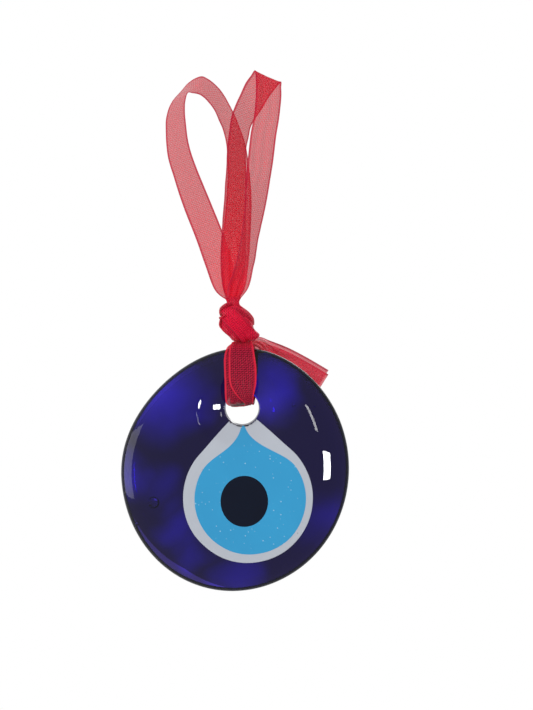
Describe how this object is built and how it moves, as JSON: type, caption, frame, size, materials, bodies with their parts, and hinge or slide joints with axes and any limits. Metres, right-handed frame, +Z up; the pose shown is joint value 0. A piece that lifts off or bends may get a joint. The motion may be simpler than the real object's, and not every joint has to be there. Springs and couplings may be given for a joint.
{
  "type": "evil eye ornament",
  "caption": "Round dark glass charm with fused drops forming an eye, hung through its hole on a sheer red ribbon that is wound, knotted and looped for a hook.",
  "frame": {"origin": "the hang point, at the top of the two ribbon loops, where a hook holds the ornament up", "axes": "the ornament hangs upright: +Z up, the eye faces -Y, +X to the viewer's right"},
  "size_m": [0.058, 0.0122, 0.1321],
  "materials": {
    "cobalt_glass": "cast cobalt glass, fire polished, with small bubbles",
    "white_glass": "opaque white glass, fused and fire polished",
    "light_blue_glass": "opaque light blue glass, fused and fire polished",
    "dark_glass": "near-black blue glass, fused and fire polished",
    "ribbon": "sheer red organza ribbon with woven edges"
  },
  "bodies": {
    "ribbon_loops": {"left_loop": "ribbon", "right_loop": "ribbon"},
    "neck": {"gathered_neck": "ribbon"},
    "knot_and_bail": {"knot_core": "ribbon", "knot_wrap": "ribbon", "bail_inner_winding": "ribbon", "bail_outer_winding": "ribbon"},
    "tail": {"tail_front_end": "ribbon", "tail_back_end": "ribbon"},
    "glass_eye": {"glass_body": "cobalt_glass", "white_drop": "white_glass", "light_blue_drop": "light_blue_glass", "pupil": "dark_glass"}
  },
  "joints": [
    {"name": "neck_twist", "type": "hinge", "parent": "ribbon_loops", "child": "neck", "pos_m": [-0.0006, 0, -0.0576], "axis": [0, 0, 1], "range_deg": [-90, 90]},
    {"name": "knot_swing", "type": "hinge", "parent": "neck", "child": "knot_and_bail", "pos_m": [-0.0006, 0, -0.05905], "axis": [1, 0, 0], "range_deg": [-45, 45]},
    {"name": "glass_turn", "type": "hinge", "parent": "knot_and_bail", "child": "glass_eye", "pos_m": [0.0018, 0, -0.08595], "axis": [0, 1, 0], "range_deg": [-15, 10]},
    {"name": "tail_lift", "type": "hinge", "parent": "knot_and_bail", "child": "tail", "pos_m": [0.0065, 0.0031, -0.0694], "axis": [0.4711, 0, 0.8821], "range_deg": [0, 60]}
  ]
}
